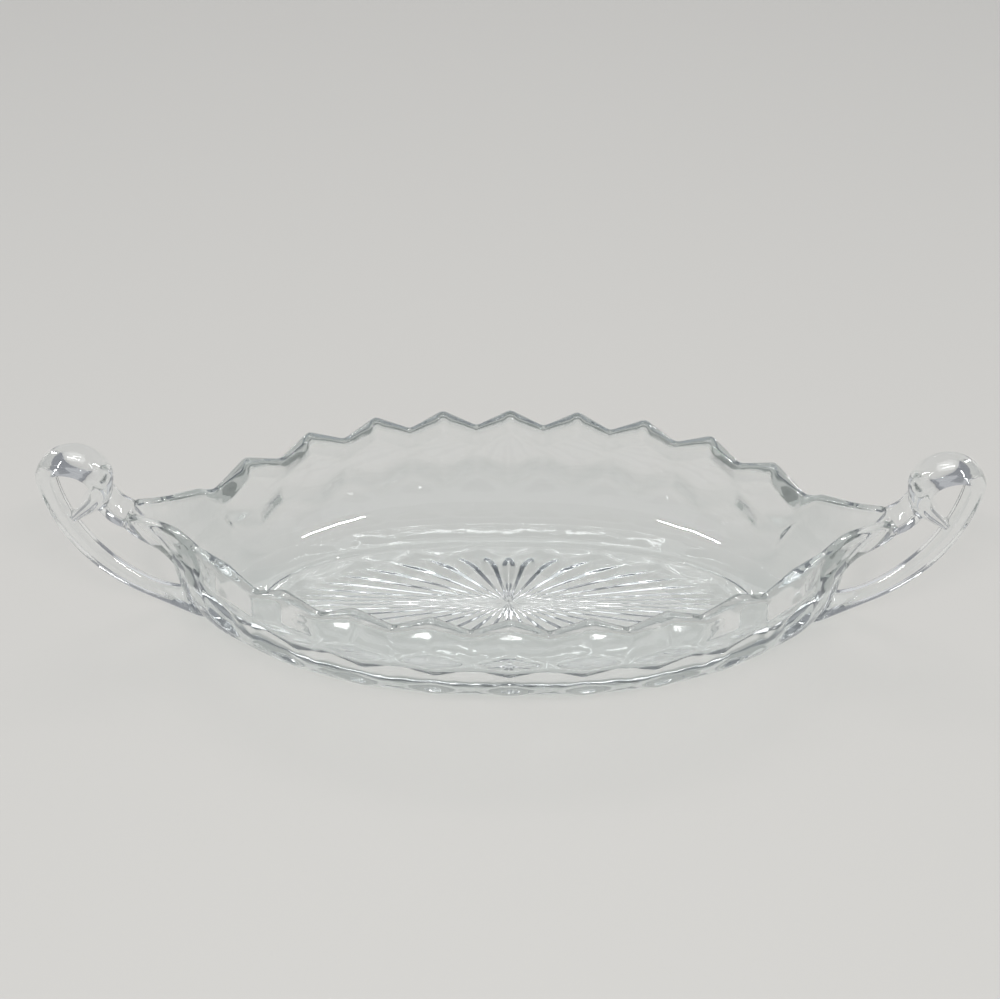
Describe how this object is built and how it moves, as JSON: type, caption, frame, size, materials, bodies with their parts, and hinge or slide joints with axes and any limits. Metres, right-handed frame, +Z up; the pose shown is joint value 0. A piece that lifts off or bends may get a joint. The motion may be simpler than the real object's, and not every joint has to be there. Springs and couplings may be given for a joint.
{
  "type": "relish tray",
  "caption": "Boat-shaped pressed-glass relish tray with a sawtooth rim, stacked-block relief outside, rays under the floor and a scroll handle at each end.",
  "frame": {"origin": "middle of the resting face on the table", "axes": "+X along the tray to the right handle, +Y across it, +Z up"},
  "size_m": [0.216, 0.0762, 0.0506],
  "materials": {
    "clear_glass": "clear pressed glass, fire-polished, with a faint cool tint at the edges"
  },
  "bodies": {
    "root": {"bowl": "clear_glass", "rayed_base": "clear_glass", "left_handle": "clear_glass", "right_handle": "clear_glass"}
  },
  "joints": []
}
